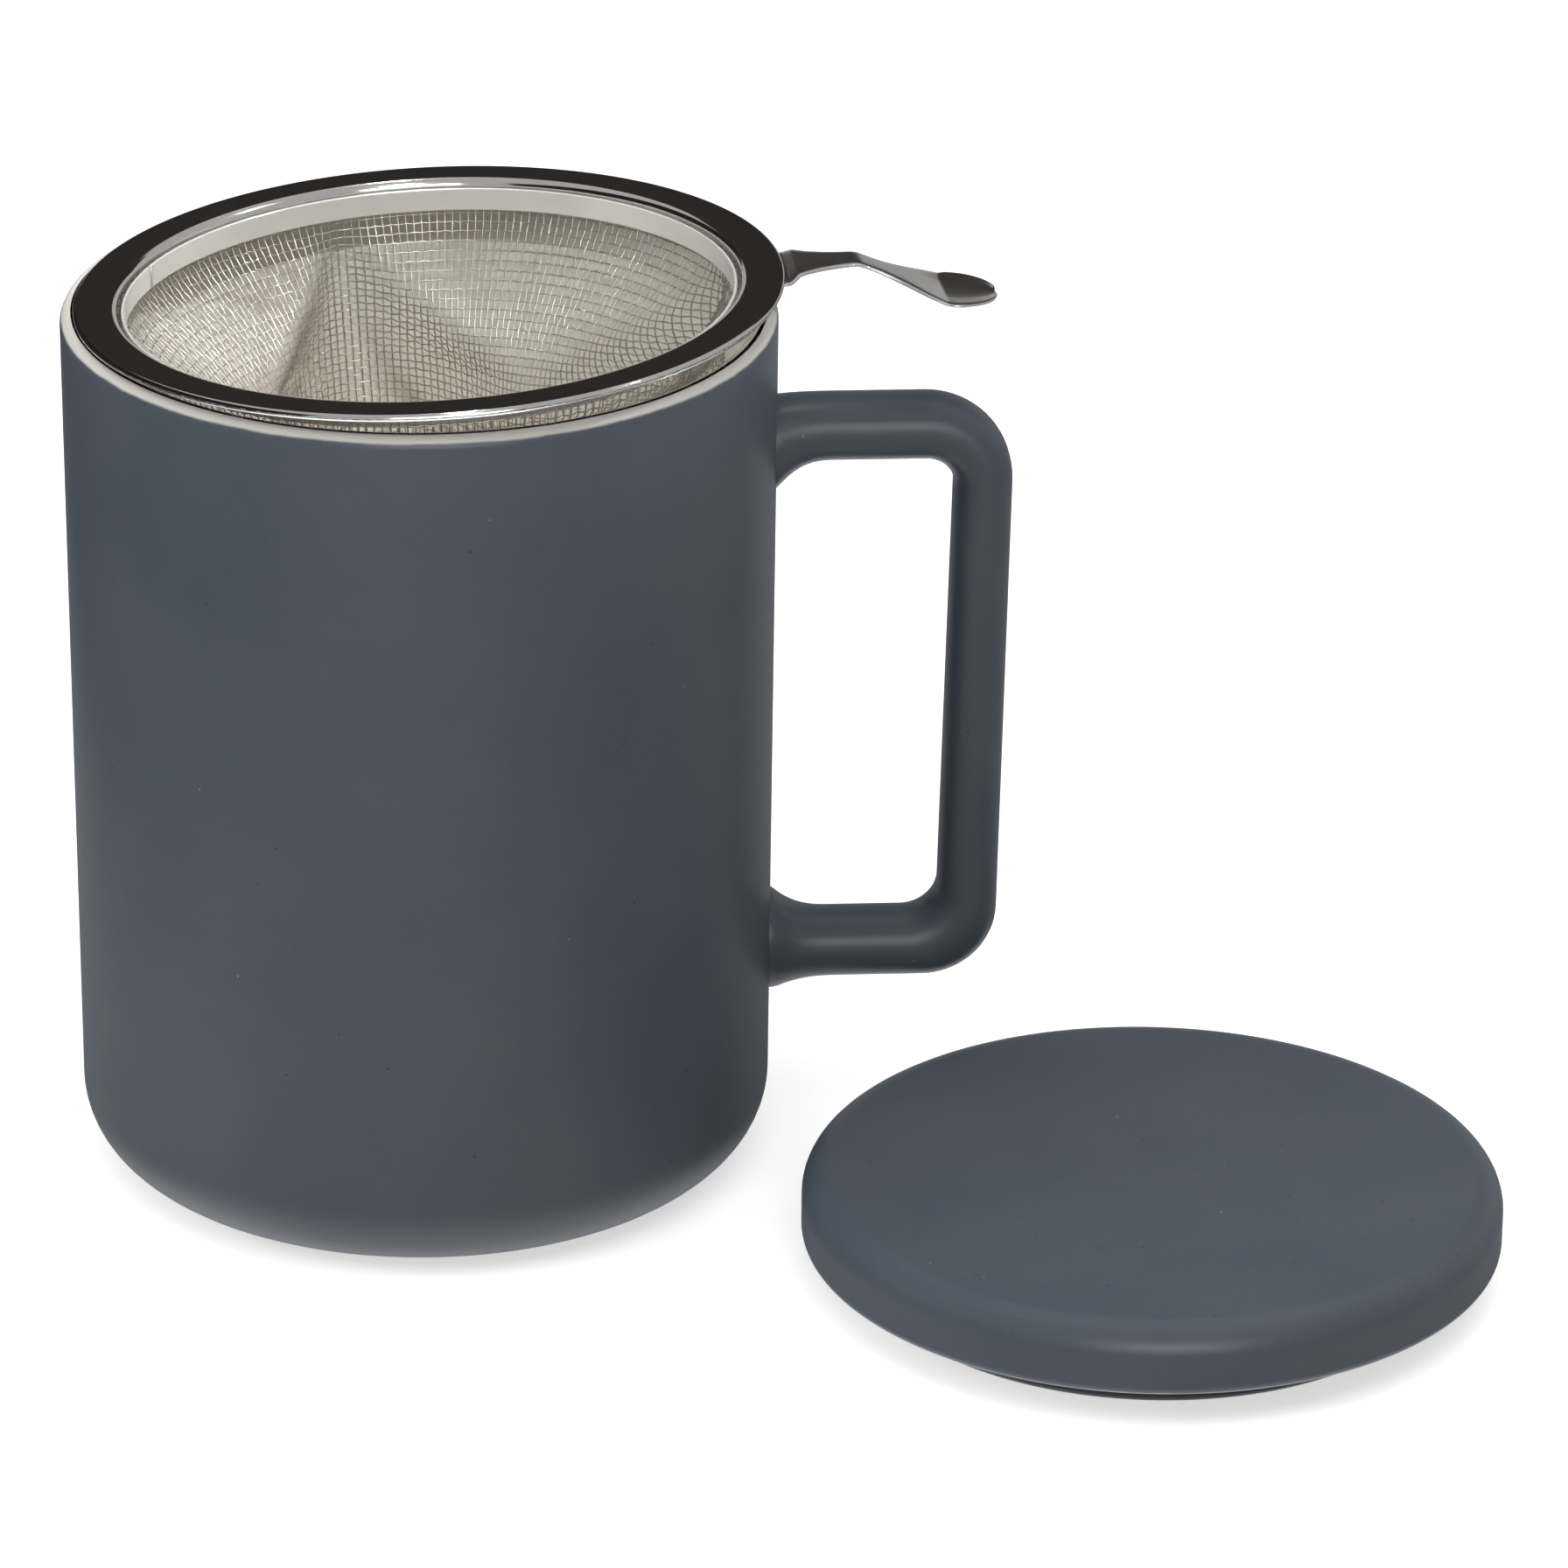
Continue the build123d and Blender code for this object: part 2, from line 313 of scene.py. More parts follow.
def makePiece(name, points, faces, place=None, uvs=None, values=None):
    mesh = bpy.data.meshes.new(name)
    matrix = place or Matrix.Identity(4)
    mesh.from_pydata([(matrix @ Vector(point)) * mm for point in points], [], faces)
    mesh.update()
    if uvs:
        layer = mesh.uv_layers.new(name="UVMap")
        for loop in mesh.loops:
            layer.data[loop.index].uv = uvs[loop.vertex_index]
    for key, numbers in (values or {}).items():
        attribute = mesh.attributes.new(key, "FLOAT", "POINT")
        attribute.data.foreach_set("value", numbers)
    for polygon in mesh.polygons:
        polygon.use_smooth = True
    return link(name, mesh)


def cleanUp(piece):
    # Merge doubled points and turn every face outwards.
    work = bmesh.new()
    work.from_mesh(piece.data)
    bmesh.ops.remove_doubles(work, verts=work.verts, dist=0.000002)
    bmesh.ops.recalc_face_normals(work, faces=work.faces)
    work.to_mesh(piece.data)
    work.free()


def lathe(name, outline, turns, place=None, value=None, centre=(0, 0)):
    # Turn a closed (radius, height) outline about the upright axis through the centre.
    travel = [0.0]
    for first, second in zip(outline, outline[1:]):
        travel.append(travel[-1] + (second - first).length)
    points, uvs, values = [], [], []
    for turn in range(turns):
        angle = 2 * math.pi * turn / turns
        for index, point in enumerate(outline):
            x = centre[0] + point.x * math.cos(angle)
            y = centre[1] + point.x * math.sin(angle)
            points.append((x, y, point.y))
            uvs.append((angle * uvPerRadian, travel[index]))
            values.append(value(point) if value else 0.0)
    size = len(outline)
    faces = []
    for turn in range(turns):
        here, following = turn * size, (turn + 1) % turns * size
        for index in range(size):
            ahead = (index + 1) % size
            if outline[index].x < 1e-6 and outline[ahead].x < 1e-6:
                continue
            faces.append((here + index, following + index, following + ahead, here + ahead))
    piece = makePiece(name, points, faces, place, uvs, {"past": values} if value else None)
    cleanUp(piece)
    return piece


def tubeFaces(rings, size):
    # Faces of a tube of closed rings, with a cap at either end.
    faces = []
    for ring in range(rings - 1):
        here, following = ring * size, (ring + 1) * size
        for step in range(size):
            ahead = (step + 1) % size
            faces.append((here + step, here + ahead, following + ahead, following + step))
    faces.append(tuple(range(size)))
    faces.append(tuple((rings - 1) * size + step for step in reversed(range(size))))
    return faces


def finishPiece(piece, body, material, slot, *nodes):
    piece.data.materials.clear()
    piece.data.materials.append(material)
    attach(piece, body)
    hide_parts(*nodes)


def makeMug():
    height, outer, wall = mug["height"], mug["rimRadius"], mug["wall"]
    innerFoot = mug["footRadius"] - wall
    outline = roundedOutline([
        (0, 0, 0),
        (mug["footRadius"], 0, mug["footRound"]),
        (outer, height, mug["lipRound"]),
        (outer - wall, height, mug["lipRound"]),
        (innerFoot, mug["floor"], mug["innerRound"]),
        (0, mug["floor"], 0),
    ], mug["arcSteps"])

    def pastLip(point):
        # Distance in mm past the line where the blue glaze breaks to pale; below zero outside the mug.
        if point.y > height - mug["lipReach"]:
            return (point.y - height) + (outer - point.x) + mug["paleDrop"]
        inside = point.x < innerFoot + wall / 4 and point.y > mug["floor"] * 0.9
        return mug["farPast"] if inside else -mug["farPast"]

    body = lathe("mugBody", outline, mug["turns"], value=pastLip)
    finishPiece(body, "mug", glazeMaterial("mugGlaze", "past"), "mug_glaze", "mug_body")


handle = {
    "reach": 70.95,
    "lean": 1.3,
    "top": 96.3,
    "foot": 20.8,
    "topBar": 7.55,
    "gripBar": 7.2,
    "footBar": 7.9,
    "width": 9.4,
    "outerTopCorner": 10.5,
    "outerFootCorner": 9.0,
    "innerTopCorner": 3.5,
    "innerFootCorner": 4.5,
    "squareness": 2.6,
    "rootDepth": 1.2,  # how far either end runs into the wall
    "flareStart": 0.4,
    "flareReach": 7.0,
    "flareEase": 2.6,
    "flareTop": (-0.4, 3.5),  # how far the upper and the under side of a root spread at the wall
    "flareFoot": (1.4, 2.7),
    "flareSide": 1.0,
    "rows": (26, 18, 30, 18, 26),  # on each run and corner in turn
    "around": 40,
}


def barEdge(points, rounds, counts):
    # Walk an open line with rounded corners; counts are the rows on each run and corner in turn.
    line = [Vector(point) for point in points]
    reached = line[0]
    walk = []
    for index, bend in enumerate(rounds):
        run, turn = counts[2 * index], counts[2 * index + 1]
        arc = roundCorner(*line[index:index + 3], bend, turn)
        walk += [reached.lerp(arc[0], step / run) for step in range(run)] + arc[:-1]
        reached = arc[-1]
    run = counts[-1]
    return walk + [reached.lerp(line[-1], step / run) for step in range(run + 1)]


def makeHandle():
    inside = mug["footRadius"] - handle["rootDepth"]
    topX, footX = handle["reach"], handle["reach"] - handle["lean"]
    topZ, footZ, grip = handle["top"], handle["foot"], handle["gripBar"]
    topUnder, footOver = topZ - handle["topBar"], footZ + handle["footBar"]
    outer = barEdge(
        [(inside, topZ), (topX, topZ), (footX, footZ), (inside, footZ)],
        (handle["outerTopCorner"], handle["outerFootCorner"]), handle["rows"])
    inner = barEdge(
        [(inside, topUnder), (topX - grip, topUnder), (footX - grip, footOver), (inside, footOver)],
        (handle["innerTopCorner"], handle["innerFootCorner"]), handle["rows"])
    wallX = mug["footRadius"] + handle["flareStart"]
    around = handle["around"]
    power = 2 / handle["squareness"]
    points, uvs = [], []
    for index, (outEdge, inEdge) in enumerate(zip(outer, inner)):
        flare = handle["flareTop"] if outEdge.y > (topZ + footZ) / 2 else handle["flareFoot"]
        near = max(0.0, 1 - (min(outEdge.x, inEdge.x) - wallX) / handle["flareReach"])
        spread = min(1.0, near) ** handle["flareEase"]
        growOut, growIn = [spread * grow for grow in flare]
        outward = (outEdge - inEdge).normalized()
        high, low = outEdge + outward * growOut, inEdge - outward * growIn
        middle, arm = (high + low) / 2, (high - low) / 2
        halfWidth = handle["width"] / 2 + spread * handle["flareSide"]
        for step in range(around):
            angle = 2 * math.pi * step / around
            along, sideways = math.cos(angle), math.sin(angle)
            along = math.copysign(abs(along) ** power, along)
            sideways = math.copysign(abs(sideways) ** power, sideways)
            spot = middle + arm * along
            points.append((spot.x, sideways * halfWidth, spot.y))
            uvs.append((index, step))
    bar = makePiece("mugHandle", points, tubeFaces(len(outer), around), None, uvs)
    cleanUp(bar)
    finishPiece(bar, "mug", glazeMaterial("handleGlaze"), "handle_glaze", "mug_handle")


lid = {
    "centre": (85.5, -40.455),
    "radius": 41.8,
    "disc": 8.55,
    "shoulder": 3.6,
    "underEdge": 1.2,
    "ringDrop": 4.25,
    "ringRadius": 35.15,
    "ringWall": 4.0,
    "ringRound": 0.9,
    "paleRise": 0.35,  # of the pale line above the disc's under side
    "paleReach": 2.5,
    "arcSteps": 12,
    "turns": 320,
}


def makeLid():
    ringInner = lid["ringRadius"] - lid["ringWall"]
    top = lid["ringDrop"] + lid["disc"]
    outline = roundedOutline([
        (0, lid["ringDrop"], 0),
        (ringInner, lid["ringDrop"], lid["ringRound"]),
        (ringInner, 0, lid["ringRound"]),
        (lid["ringRadius"], 0, lid["ringRound"]),
        (lid["ringRadius"], lid["ringDrop"], lid["ringRound"]),
        (lid["radius"], lid["ringDrop"], lid["underEdge"]),
        (lid["radius"], top, lid["shoulder"]),
        (0, top, 0),
    ], lid["arcSteps"])
    edge = lid["ringDrop"] + lid["paleRise"]

    def pastEdge(point):
        return edge - point.y if point.x > lid["radius"] - lid["paleReach"] else -mug["farPast"]

    disc = lathe("lidDisc", outline, lid["turns"], value=pastEdge, centre=lid["centre"])
    finishPiece(disc, "lid", glazeMaterial("lidGlaze", "past"), "lid_glaze", "lid")


infuser = {
    "flangeRadius": 42.05,
    "sheet": 0.35,
    "hemHeight": 0.9,
    "hemWidth": 1.1,
    "hemOver": 0.48,  # the hem's outer rounds, as shares of its height
    "hemUnder": 0.46,
    "hemEdge": 0.2,
    "cutEdge": 0.1,
    "bend": 0.9,
    "neckRadius": 37.25,
    "neckDrop": 1.8,
    "bandRadius": 36.39,
    "bandTop": 0.9,
    "bandHeight": 2.8,
    "bandEdge": 0.12,
    "seamAzimuth": 156.0,
    "seamWidth": 0.25,
    "arcSteps": 12,
    "bandArcSteps": 4,
    "turns": 360,
    "flangeSteel": {
        "colour": (0.80, 0.79, 0.77, 1),
        "roughness": 0.10,
        "roughSpread": 0.03,
        "metallic": 1.0,
        "grain": (0.02, 6.0, 1),
        "bump": 0.012,
    },
    "bandSteel": {
        "colour": (0.92, 0.90, 0.87, 1),
        "roughness": 0.2,
        "roughSpread": 0.04,
        "metallic": 0.5,
        "grain": (0.03, 5.0, 1),
        "bump": 0.015,
    },
}


def makeFlange():
    outer, sheet, neck = infuser["flangeRadius"], infuser["sheet"], infuser["neckRadius"]
    hem, edge, drop = infuser["hemHeight"], infuser["cutEdge"], infuser["neckDrop"]
    hemInner = outer - infuser["hemWidth"]
    outline = roundedOutline([
        (neck - sheet, -drop, edge),
        (neck - sheet, 0, infuser["bend"]),
        (outer, 0, infuser["hemOver"] * hem),
        (outer, -hem, infuser["hemUnder"] * hem),
        (hemInner, -hem, infuser["hemEdge"]),
        (hemInner, -sheet, edge),
        (neck, -sheet, infuser["bend"] - sheet),
        (neck, -drop, edge),
    ], infuser["arcSteps"])
    ring = lathe("rimFlange", outline, infuser["turns"], seatMatrix())
    steel = steelMaterial("flangeSteel", infuser["flangeSteel"])
    finishPiece(ring, "infuser", steel, "flange_steel", "rim_flange")


def makeBand():
    outer = infuser["bandRadius"]
    inner = outer - infuser["sheet"]
    top = -infuser["bandTop"]
    foot = top - infuser["bandHeight"]
    corners = [(inner, foot), (inner, top), (outer, top), (outer, foot)]
    outline = roundedOutline([corner + (infuser["bandEdge"],) for corner in corners], infuser["bandArcSteps"])
    gap = infuser["seamWidth"] / outer
    start = math.radians(infuser["seamAzimuth"]) + gap / 2
    turns = infuser["turns"]
    points, uvs = [], []
    for turn in range(turns + 1):
        angle = start + (2 * math.pi - gap) * turn / turns
        for point in outline:
            points.append((point.x * math.cos(angle), point.x * math.sin(angle), point.y))
            uvs.append((angle * uvPerRadian, point.y * 2 + point.x))
    band = makePiece("innerBand", points, tubeFaces(turns + 1, len(outline)), seatMatrix(), uvs)
    cleanUp(band)
    steel = steelMaterial("bandSteel", infuser["bandSteel"])
    finishPiece(band, "infuser", steel, "band_steel", "inner_band")


tab = {
    "azimuth": 3.0,
    "sheet": 0.6,
    "bends": [
        # reach from the axis, height, bend
        (38.8, -1.28, 0.0), (42.4, -1.28, 0.7), (43.6, -0.65, 0.7),
        (50.8, -0.65, 3.0), (61.0, -5.5, 2.0), (68.0, -6.3, 0.0),
    ],
    "halfWidths": [
        # reach from the axis, half width
        (36.0, 5.55), (42.2, 5.55), (44.3, 4.0), (47.3, 2.8), (50.9, 2.2),
        (53.6, 2.2), (56.2, 3.2), (59.4, 4.95), (61.8, 5.85),
    ],
    "tip": 67.45,
    "tipFullness": 2.1,
    "dish": 0.35,
    "dishStart": 58.0,
    "dishEase": 4.0,
    "sideFullness": 0.35,
    "edgeFullness": 0.5,
    "rowsPerBend": 6,
    "paddleRows": 28,
    "around": 56,
    "steel": {
        "colour": (0.78, 0.77, 0.75, 1),
        "roughness": 0.2,
        "roughSpread": 0.08,
        "metallic": 1.0,
        "grain": (0.4, 8.0, 1),
        "bump": 0.08,
    },
}


def tabHalfWidth(reach):
    # A smooth curve through the half widths, closed by a full round tip.
    spots = tab["halfWidths"]
    centre, widest = spots[-1]
    if reach > centre:
        share = min(1.0, (reach - centre) / (tab["tip"] - centre))
        return widest * math.sqrt(max(0.0, 1 - share ** tab["tipFullness"]))
    index = next(number for number, spot in enumerate(spots[1:]) if reach <= spot[0])
    (x1, y1), (x2, y2) = spots[index], spots[index + 1]
    before, after = spots[max(0, index - 1)], spots[min(len(spots) - 1, index + 2)]
    share = (reach - x1) / (x2 - x1)
    slopeIn = (y2 - before[1]) / (x2 - before[0]) * (x2 - x1)
    slopeOut = (after[1] - y1) / (after[0] - x1) * (x2 - x1)
    square, cube = share ** 2, share ** 3
    return ((2 * cube - 3 * square + 1) * y1 + (cube - 2 * square + share) * slopeIn
            + (3 * square - 2 * cube) * y2 + (cube - square) * slopeOut)


def makeTab():
    bends, around, start = tab["bends"], tab["around"], tab["dishStart"]
    rows = [tab["rowsPerBend"]] * 2 * (len(bends) - 2) + [tab["paddleRows"]]
    line = barEdge([bend[:2] for bend in bends], [bend[2] for bend in bends[1:-1]], rows)
    kept = [spot for spot in line if spot.x < tab["tip"]]
    points, uvs = [], []
    for index, spot in enumerate(kept):
        ahead = kept[min(index + 1, len(kept) - 1)] - kept[max(index - 1, 0)]
        normal = Vector((-ahead.y, ahead.x)).normalized()
        width = tabHalfWidth(spot.x)
        dish = tab["dish"] * max(0, min(1, (spot.x - start) / tab["dishEase"]))
        for step in range(around):
            angle = 2 * math.pi * (step + 0.5) / around
            flat, thick = math.cos(angle), math.sin(angle)
            flat = math.copysign(abs(flat) ** tab["sideFullness"], flat)
            thick = math.copysign(abs(thick) ** tab["edgeFullness"], thick)
            place = spot + normal * (thick * tab["sheet"] / 2 + dish * (flat ** 2 - 0.5))
            points.append((place.x, flat * width, place.y))
            uvs.append((spot.x, flat * width))
    turn = Matrix.Rotation(math.radians(tab["azimuth"]), 4, "Z")
    strip = makePiece("thumbTab", points, tubeFaces(len(kept), around), seatMatrix() @ turn, uvs)
    cleanUp(strip)
    finishPiece(strip, "infuser", steelMaterial("tabSteel", tab["steel"]), "tab_steel", "thumb_tab")


basket = {
    "collarRadius": 36.82,
    "collarTop": 1.5,
    "collarFoot": 4.1,
    "depth": 69.2,
    "footRadius": 33.0,
    "footRound": 9.0,
    "footTurn": 76.5,  # degrees of round between the wall and the flat of the foot
    "hollow": 15.5,
    "ramp": 12.0,
    "ease": 1.4,
    "foldAzimuth": 17.0,
    "foldPinch": 3.5,
    "foldSpread": 22.0,
    "foldSpreadDepth": 17.0,
    "wiresPerSide": 60,
    "rows": 76,
    "wire": 0.092,
    "wireSides": 4,
    "warpLift": 0.09,
    "weftLift": 0.19,
    "bright": (0.68, 0.65, 0.60, 1),
    "dull": (0.50, 0.47, 0.43, 1),
    "stain": 0.5,  # patterns per mm
    "stained": (0.35, 0.65),
    "roughness": 0.37,
    "roughSpread": 0.10,
    "grain": 6.0,
    "bump": 0.1,
}


def basketRadius(depth, angle):
    # Round at the collar; below it four hollow panels, and between them folds that start narrow and spread.
    start = basket["collarFoot"]
    drop = max(0.0, depth - start)
    taper = (basket["footRadius"] - basket["collarRadius"]) / (basket["depth"] - start)
    full = basket["collarRadius"] + taper * drop
    hollow = basket["hollow"] * (1 - math.exp(-(drop / basket["ramp"]) ** basket["ease"]))
    spread = min(1.0, drop / basket["foldSpreadDepth"]) ** 2
    halfWidth = math.radians(basket["foldPinch"] + (basket["foldSpread"] - basket["foldPinch"]) * spread)
    sharpness = math.log(0.5) / math.log(math.cos(2 * halfWidth))
    fold = abs(math.cos(2 * (angle - math.radians(basket["foldAzimuth"])))) ** sharpness
    return full - hollow * (1 - fold)


def basketSpot(share, angle):
    # Share runs 0 to 1 down the wall and round the foot to the edge of the floor.
    wallDepth = basket["depth"] - basket["footRound"]
    wallRun = wallDepth - basket["collarTop"]
    arcRun = basket["footRound"] * math.radians(basket["footTurn"])
    run = share * (wallRun + arcRun)
    if run <= wallRun:
        depth = basket["collarTop"] + run
        radius = basketRadius(depth, angle)
    else:
        turn = (run - wallRun) / basket["footRound"]
        depth = wallDepth + basket["footRound"] * math.sin(turn)
        radius = basketRadius(depth, angle) - basket["footRound"] * (1 - math.cos(turn))
    return radius, depth


def wallNet():
    # A square net of crossings down the wall; every edge knows whether a warp wire follows it.
    around, rows = 4 * basket["wiresPerSide"], basket["rows"]
    fold = math.radians(basket["foldAzimuth"])
    points, parity, faces = [], [], []
    for row in range(rows + 1):
        for column in range(around):
            angle = fold + 2 * math.pi * column / around
            radius, depth = basketSpot(row / rows, angle)
            points.append((radius * math.cos(angle), radius * math.sin(angle), -depth))
            parity.append(1.0 if (row + column) % 2 else -1.0)
    for row in range(rows):
        for column in range(around):
            ahead = (column + 1) % around
            faces.append((row * around + column, (row + 1) * around + column,
                          (row + 1) * around + ahead, row * around + ahead))
    return points, faces, parity, lambda first, second: first // around != second // around


def floorNet():
    # The foot is one square net stretched to the folded outline, its corners at the folds.
    side = basket["wiresPerSide"]
    fold = math.radians(basket["foldAzimuth"])
    points, parity, faces = [], [], []
    for across in range(side + 1):
        for along in range(side + 1):
            s, t = 2 * across / side - 1, 2 * along / side - 1
            reach = max(abs(s), abs(t))
            if reach < 1e-6:
                turn = 0.0
            elif -t >= abs(s):
                turn = (s / reach + 1) / 2
            elif s >= abs(t):
                turn = 1 + (t / reach + 1) / 2
            elif t >= abs(s):
                turn = 2 + (1 - s / reach) / 2
            else:
                turn = 3 + (1 - t / reach) / 2
            angle = fold + turn * math.pi / 2
            radius, depth = basketSpot(1.0, angle)
            points.append((reach * radius * math.cos(angle), reach * radius * math.sin(angle), -depth))
            parity.append(1.0 if (across + along) % 2 else -1.0)
    for across in range(side):
        for along in range(side):
            here = across * (side + 1) + along
            faces.append((here, here + 1, here + side + 2, here + side + 1))
    return points, faces, parity, lambda first, second: first // (side + 1) == second // (side + 1)


def weaveTree(material):
    # Keeps the edges of one wire direction, lifts their crossings up and down in turn
    # and gives each line a round wire.
    tree = bpy.data.node_groups.new("weave", "GeometryNodeTree")
    interface = tree.interface
    interface.new_socket("Geometry", in_out="INPUT", socket_type="NodeSocketGeometry")
    sockets = {}
    for key, kind, value in (("Wire Radius", "NodeSocketFloat", basket["wire"] * mm),
                             ("Lift", "NodeSocketFloat", basket["warpLift"] * mm),
                             ("Direction", "NodeSocketInt", 1)):
        socket = interface.new_socket(key, in_out="INPUT", socket_type=kind)
        socket.default_value = value
        sockets[key] = socket.identifier
    interface.new_socket("Geometry", in_out="OUTPUT", socket_type="NodeSocketGeometry")
    add, join = tree.nodes.new, tree.links.new

    def attribute(kind, name):
        node = add("GeometryNodeInputNamedAttribute")
        node.data_type = kind
        node.inputs["Name"].default_value = name
        return node.outputs["Attribute"]

    entry, leave = add("NodeGroupInput"), add("NodeGroupOutput")
    normal = add("GeometryNodeInputNormal")
    keepNormal = add("GeometryNodeCaptureAttribute")
    keepNormal.capture_items.new("VECTOR", "normal")
    join(entry.outputs["Geometry"], keepNormal.inputs["Geometry"])
    join(normal.outputs["Normal"], keepNormal.inputs[1])
    other = add("FunctionNodeCompare")
    other.data_type = "INT"
    other.operation = "NOT_EQUAL"
    join(attribute("INT", "warp"), other.inputs[2])
    join(entry.outputs["Direction"], other.inputs[3])
    drop = add("GeometryNodeDeleteGeometry")
    drop.domain = "EDGE"
    drop.mode = "EDGE_FACE"
    join(keepNormal.outputs["Geometry"], drop.inputs["Geometry"])
    join(other.outputs["Result"], drop.inputs["Selection"])
    swing = add("ShaderNodeMath")
    swing.operation = "MULTIPLY"
    join(attribute("FLOAT", "parity"), swing.inputs[0])
    join(entry.outputs["Lift"], swing.inputs[1])
    push = add("ShaderNodeVectorMath")
    push.operation = "SCALE"
    join(keepNormal.outputs[1], push.inputs[0])
    join(swing.outputs[0], push.inputs["Scale"])
    move = add("GeometryNodeSetPosition")
    join(drop.outputs["Geometry"], move.inputs["Geometry"])
    join(push.outputs["Vector"], move.inputs["Offset"])
    lines = add("GeometryNodeMeshToCurve")
    join(move.outputs["Geometry"], lines.inputs["Mesh"])
    ring = add("GeometryNodeCurvePrimitiveCircle")
    ring.inputs["Resolution"].default_value = basket["wireSides"]
    join(entry.outputs["Wire Radius"], ring.inputs["Radius"])
    wire = add("GeometryNodeCurveToMesh")
    wire.inputs["Fill Caps"].default_value = True
    join(lines.outputs["Curve"], wire.inputs["Curve"])
    join(ring.outputs["Curve"], wire.inputs["Profile Curve"])
    smooth = add("GeometryNodeSetShadeSmooth")
    join(wire.outputs["Mesh"], smooth.inputs["Geometry"])
    real = add("GeometryNodeRealizeInstances")
    join(smooth.outputs["Geometry"], real.inputs["Geometry"])
    paint = add("GeometryNodeSetMaterial")
    paint.inputs["Material"].default_value = material
    join(real.outputs["Geometry"], paint.inputs["Geometry"])
    join(paint.outputs["Geometry"], leave.inputs["Geometry"])
    return tree, sockets


def weave(name, net, direction, tree, sockets, material):
    points, faces, parity, isWarp = net
    sheet = makePiece(name + "Sheet", points, faces, seatMatrix(), None, {"parity": parity})
    flags = sheet.data.attributes.new("warp", "INT", "EDGE")
    flags.data.foreach_set("value", [int(isWarp(*edge.vertices)) for edge in sheet.data.edges])
    modifier = sheet.modifiers.new("weave", "NODES")
    modifier.node_group = tree
    modifier[sockets["Wire Radius"]] = basket["wire"] * mm
    modifier[sockets["Lift"]] = (basket["warpLift"] if direction else -basket["weftLift"]) * mm
    modifier[sockets["Direction"]] = direction
    bpy.context.view_layer.update()
    made = sheet.evaluated_get(bpy.context.evaluated_depsgraph_get())
    mesh = bpy.data.meshes.new_from_object(made)
    bpy.data.objects.remove(sheet)
    wires = link(name, mesh)
    finishPiece(wires, "infuser", material, "mesh_steel", "mesh_basket")


def meshMaterial():
    nodes = Nodes("meshSteel")
    place = nodes.place("Object", inMillimetres)
    stain = nodes.noise(place, basket["stain"], 3.0)
    tint = nodes.mix(nodes.spread(stain, *basket["stained"], 0, 1), basket["bright"], basket["dull"])
    nodes.link(tint, nodes.shader.inputs["Base Color"])
    nodes.roughen(stain, basket["roughness"], basket["roughSpread"])
    nodes.shader.inputs["Metallic"].default_value = 1.0
    nodes.bump(nodes.noise(place, basket["grain"], 2.0), basket["bump"], metal["bumpDepth"])
    return nodes.material


def makeBasket():
    material = meshMaterial()
    tree, sockets = weaveTree(material)
    wall, foot = wallNet(), floorNet()
    for name, net in (("mesh", wall), ("foot", foot)):
        weave(name + "Warp", net, 1, tree, sockets, material)
        weave(name + "Weft", net, 0, tree, sockets, material)


studio = {
    "floorSize": 12.0,
    "floor": (0.80, 0.80, 0.80, 1),
    "floorFar": (0.35, 0.35, 0.35, 1),
    "floorRoughness": 0.9,
    "floorShine": 0.1,
    "floorBelow": (0.45, 0.9),  # steepness at which a reflection starts and ends to turn from far to near
    "floorGlow": 0.6,
    "floorGloss": 1.6,
    "worldLight": 0.24,
    "roomGloss": 0.45,
    "lamps": [
        # name, place (m), aim (m), size (m), power (W)
        ("leftLamp", (-1.2, -0.3, 0.7), (0, 0, 0.05), 0.8, 7.5),
        ("topLamp", (0.1, -0.1, 1.3), (0.05, 0, 0), 1.8, 16.5),
        ("rightLamp", (1.3, 0.1, 0.5), (0, 0, 0.05), 0.8, 1.0),
    ],
    "sheen": ("frontSheen", (0.1, -1.4, 0.35), (0.08, 0, 0.03), 0.9, 9.0),
    "beams": [
        # name, place (m), aim (m), size (m), power (W), cone (degrees)
        ("frontBeam", (0.07, -0.56, 0.78), (0.0, 0.008, 0.108), 0.02, 20.0, 4.4),
        ("backBeam", (0.0, 0.45, 0.88), (0.001, -0.004, 0.108), 0.02, 9.0, 4.4),
        ("rightBeam", (0.56, -0.06, 0.78), (-0.008, 0.0, 0.108), 0.02, 24.0, 4.4),
    ],
    "beamBlend": 0.15,
    "card": (0.030, 0.026, 0.024, 1),
    "cards": [
        # name, centre (m), turn about X and Z (degrees), width and height (m)
        ("backCard", (0.16, 0.90, 0.55), (90, 0), 1.5, 0.5),
        ("leftCard", (-0.11, 0.10, 0.08), (90, 90), 0.5, 0.3),
    ],
}


def addLamp(name, place, aim, size, power, cone=None):
    data = bpy.data.lights.new(name, "SPOT" if cone else "AREA")
    data.energy = power
    if cone:
        data.spot_size = math.radians(cone)
        data.spot_blend = studio["beamBlend"]
        data.shadow_soft_size = size
    else:
        data.shape = "SQUARE"
        data.size = size
    lamp = bpy.data.objects.new(name, data)
    bpy.context.scene.collection.objects.link(lamp)
    lamp.location = place
    lamp.rotation_euler = (Vector(aim) - Vector(place)).to_track_quat("-Z", "Y").to_euler()
    return lamp


def addLamps():
    # The lamps light what is matt, the sheen lamp what shines, and the beams reach down into the infuser.
    for lamp in studio["lamps"]:
        addLamp(*lamp).visible_glossy = False
    for beam in studio["beams"]:
        addLamp(*beam)
    sheen = addLamp(*studio["sheen"])
    sheen.visible_diffuse = False


